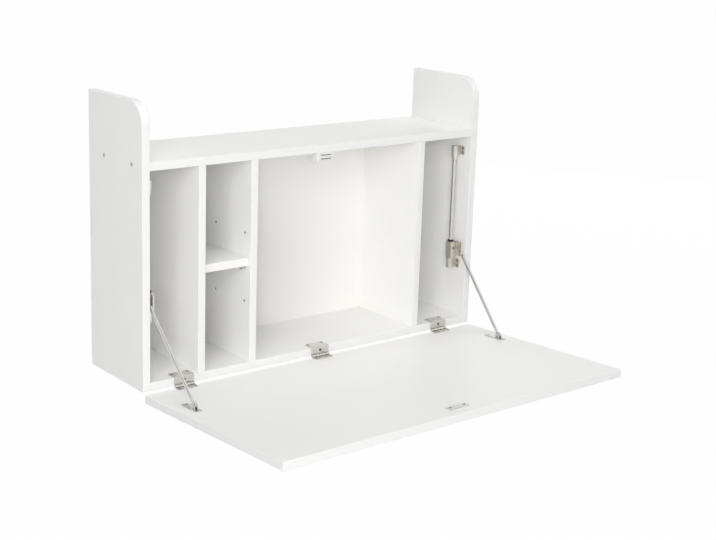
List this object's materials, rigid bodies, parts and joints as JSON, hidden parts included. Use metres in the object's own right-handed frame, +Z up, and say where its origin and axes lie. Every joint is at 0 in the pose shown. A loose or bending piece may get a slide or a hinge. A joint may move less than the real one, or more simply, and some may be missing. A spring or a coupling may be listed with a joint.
{
  "type": "fold down wall desk",
  "caption": "White wall cabinet whose hinged front folds down on braking stays to make a desk, with shelves and upright dividers inside and a top shelf between raised sides.",
  "frame": {"origin": "midway between the two wall hanger slots, on the wall plane", "axes": "+Z up, -Y to the front away from the wall, +X to the right seen from the front"},
  "size_m": [0.77, 0.6025, 0.5266],
  "materials": {
    "white_board": "white melamine face on particle board",
    "back_sheet": "white lacquered hardboard",
    "dowel_wood": "fluted beech",
    "white_plastic": "moulded",
    "black_plastic": "moulded",
    "magnet": "ferrite",
    "zinc_casting": "nickel plated die casting",
    "zinc_plated_screws": "zinc plated",
    "nickel_steel": "nickel plated sheet and rod"
  },
  "bodies": {
    "cabinet": {"left_side_panel": "white_board", "right_side_panel": "white_board", "top_panel": "white_board", "bottom_panel": "white_board", "left_divider": "white_board", "centre_divider": "white_board", "right_divider": "white_board", "small_shelf": "white_board", "back_panel": "back_sheet", "shelf_pins": "nickel_steel", "top_panel_screws": "zinc_plated_screws", "bottom_panel_screws": "zinc_plated_screws", "divider_dowels": "dowel_wood", "wall_hangers": "nickel_steel", "hanger_screws": "zinc_plated_screws", "catch_body": "white_plastic", "catch_magnet": "magnet", "catch_pole_plates": "nickel_steel", "catch_screws": "zinc_plated_screws", "hinge_cabinet_screws": "zinc_plated_screws", "left_hinge_cabinet_leaf": "nickel_steel", "left_hinge_pin": "nickel_steel", "middle_hinge_cabinet_leaf": "nickel_steel", "middle_hinge_pin": "nickel_steel", "right_hinge_cabinet_leaf": "nickel_steel", "right_hinge_pin": "nickel_steel", "left_guide_rod": "nickel_steel", "left_upper_rod_foot": "zinc_casting", "left_lower_rod_foot": "zinc_casting", "left_rod_foot_screws": "zinc_plated_screws", "right_guide_rod": "nickel_steel", "right_upper_rod_foot": "zinc_casting", "right_lower_rod_foot": "zinc_casting", "right_rod_foot_screws": "zinc_plated_screws"},
    "flap": {"flap_board": "white_board", "strike_plate": "nickel_steel", "strike_screws": "zinc_plated_screws", "hinge_flap_screws": "zinc_plated_screws", "left_hinge_flap_leaf": "nickel_steel", "middle_hinge_flap_leaf": "nickel_steel", "right_hinge_flap_leaf": "nickel_steel", "left_flap_bracket": "nickel_steel", "left_bracket_pin": "nickel_steel", "left_bracket_screws": "zinc_plated_screws", "right_flap_bracket": "nickel_steel", "right_bracket_pin": "nickel_steel", "right_bracket_screws": "zinc_plated_screws"},
    "left_slider": {"left_slider_body": "zinc_casting", "left_slider_bush": "black_plastic", "left_brake_screw": "zinc_plated_screws", "left_pivot_stud": "nickel_steel"},
    "left_arm": {"left_arm": "nickel_steel", "left_arm_rivet": "nickel_steel"},
    "right_slider": {"right_slider_body": "zinc_casting", "right_slider_bush": "black_plastic", "right_brake_screw": "zinc_plated_screws", "right_pivot_stud": "nickel_steel"},
    "right_arm": {"right_arm": "nickel_steel", "right_arm_rivet": "nickel_steel"}
  },
  "joints": [
    {"name": "flap_fold", "type": "hinge", "parent": "cabinet", "child": "flap", "pos_m": [0, -0.1878, -0.451], "axis": [-1, 0, 0], "range_deg": [0, 87.1]},
    {"name": "left_slider_run", "type": "slide", "parent": "cabinet", "child": "left_slider", "axis": [0, 0, 1], "range_m": [0, 0.15873]},
    {"name": "left_arm_swing", "type": "hinge", "parent": "flap", "child": "left_arm", "pos_m": [-0.356, -0.30623, -0.4405], "axis": [1, 0, 0], "range_deg": [0, 127.81]},
    {"name": "right_slider_run", "type": "slide", "parent": "cabinet", "child": "right_slider", "axis": [0, 0, 1], "range_m": [0, 0.15873]},
    {"name": "right_arm_swing", "type": "hinge", "parent": "flap", "child": "right_arm", "pos_m": [0.356, -0.30623, -0.4405], "axis": [1, 0, 0], "range_deg": [0, 127.81]}
  ],
  "couplings": [
    {"joint": "left_slider_run", "follows": "flap_fold", "m_per_rad": 0.10441},
    {"joint": "left_arm_swing", "follows": "flap_fold", "ratio": 1.4674},
    {"joint": "right_slider_run", "follows": "flap_fold", "m_per_rad": 0.10441},
    {"joint": "right_arm_swing", "follows": "flap_fold", "ratio": 1.4674}
  ]
}
